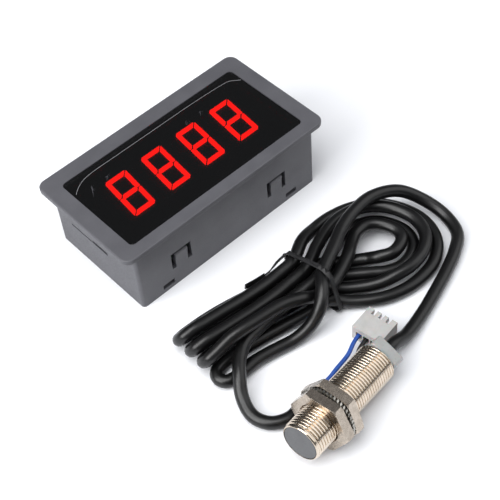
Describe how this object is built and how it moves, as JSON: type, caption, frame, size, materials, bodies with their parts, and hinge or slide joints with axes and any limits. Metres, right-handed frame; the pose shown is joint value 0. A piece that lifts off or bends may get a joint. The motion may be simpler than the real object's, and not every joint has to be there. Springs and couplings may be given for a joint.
{
  "type": "digital tachometer",
  "caption": "Digital panel tachometer: smoked window display unit with snap tongues, threaded pickup sensor with nuts and washer, tied cable hank and plug.",
  "frame": {"origin": "middle of the display unit's rear face, on the surface that the set lies on", "axes": "+Z out through the display's window, +X along the display's long side towards the last digit, +Y towards the top of the digits"},
  "size_m": [0.0941, 0.1197, 0.026],
  "materials": {
    "case_plastic": "fine satin moulded dark grey",
    "smoked_window": "polished smoked black",
    "dark_plastic": "moulded black",
    "lit_red": "clear red, lit",
    "circuit_board": "green solder resist",
    "tinned_metal": "tinned, dull bright",
    "nickel_brass": "nickel plated brass, warm and bright",
    "face_plastic": "moulded grey",
    "cap_plastic": "milky, let light through",
    "cable_jacket": "smooth black vinyl, soft sheen",
    "blue_wire": "smooth blue vinyl",
    "black_wire": "smooth black vinyl",
    "brown_wire": "smooth brown vinyl",
    "plug_plastic": "off-white nylon"
  },
  "bodies": {
    "tachometer": {"case_shell": "case_plastic", "rear_cover": "case_plastic", "display_window": "smoked_window", "display_body": "dark_plastic", "digit_1": "lit_red", "digit_2": "lit_red", "digit_3": "lit_red", "digit_4": "lit_red", "front_lead_row": "dark_plastic", "back_lead_row": "dark_plastic", "main_board": "circuit_board", "microcontroller": "dark_plastic", "voltage_regulator": "dark_plastic", "crystal": "tinned_metal", "input_capacitor": "tinned_metal", "output_capacitor": "tinned_metal", "protection_diode": "dark_plastic", "input_transistor": "dark_plastic", "power_header": "plug_plastic", "power_pin_1": "tinned_metal", "power_pin_2": "tinned_metal", "sensor_header": "plug_plastic", "sensor_pin_1": "tinned_metal", "sensor_pin_2": "tinned_metal", "sensor_pin_3": "tinned_metal", "sensor_barrel": "nickel_brass", "sensing_face": "face_plastic", "pickup_element": "dark_plastic", "sensor_board": "circuit_board", "indicator_lamp": "lit_red", "rear_cap": "cap_plastic", "sensor_cable": "cable_jacket", "cable_hank": "cable_jacket", "cable_end": "cable_jacket", "wire_sleeve": "cap_plastic", "wire_blue": "blue_wire", "wire_black": "black_wire", "wire_brown": "brown_wire", "twist_tie": "dark_plastic", "plug_housing": "plug_plastic", "plug_contact_1": "tinned_metal", "plug_contact_2": "tinned_metal", "plug_contact_3": "tinned_metal"},
    "tongue_front_left": {"snap_tongue_front_left": "case_plastic"},
    "tongue_front_right": {"snap_tongue_front_right": "case_plastic"},
    "tongue_back_left": {"snap_tongue_back_left": "case_plastic"},
    "tongue_back_right": {"snap_tongue_back_right": "case_plastic"},
    "washer": {"lock_washer": "tinned_metal"},
    "front_nut": {"front_nut": "nickel_brass"},
    "rear_nut": {"rear_nut": "nickel_brass"}
  },
  "joints": [
    {"name": "flex_front_left", "type": "hinge", "parent": "tachometer", "child": "tongue_front_left", "pos_m": [-0.0195, -0.0189, 0.0078], "axis": [-1, 0, 0], "range_deg": [0, 8], "stiffness_Nm_per_rad": 0.2},
    {"name": "flex_front_right", "type": "hinge", "parent": "tachometer", "child": "tongue_front_right", "pos_m": [0.0195, -0.0189, 0.0078], "axis": [-1, 0, 0], "range_deg": [0, 8], "stiffness_Nm_per_rad": 0.2},
    {"name": "flex_back_left", "type": "hinge", "parent": "tachometer", "child": "tongue_back_left", "pos_m": [-0.0195, 0.0189, 0.0078], "axis": [1, 0, 0], "range_deg": [0, 8], "stiffness_Nm_per_rad": 0.2},
    {"name": "flex_back_right", "type": "hinge", "parent": "tachometer", "child": "tongue_back_right", "pos_m": [0.0195, 0.0189, 0.0078], "axis": [1, 0, 0], "range_deg": [0, 8], "stiffness_Nm_per_rad": 0.2},
    {"name": "washer_travel", "type": "slide", "parent": "tachometer", "child": "washer", "axis": [0.9843, 0.1383, -0.1097], "range_m": [-0.0075, 0]},
    {"name": "front_nut_turn", "type": "hinge", "parent": "washer", "child": "front_nut", "pos_m": [-0.0293, -0.08825, 0.00953], "axis": [0.9843, 0.1383, -0.1097], "range_deg": [-2700, 0]},
    {"name": "rear_nut_travel", "type": "slide", "parent": "tachometer", "child": "rear_nut", "axis": [0.9843, 0.1383, -0.1097], "range_m": [0, 0.012]}
  ],
  "couplings": [
    {"joint": "front_nut_turn", "follows": "washer_travel", "rad_per_m": 6283.2}
  ]
}
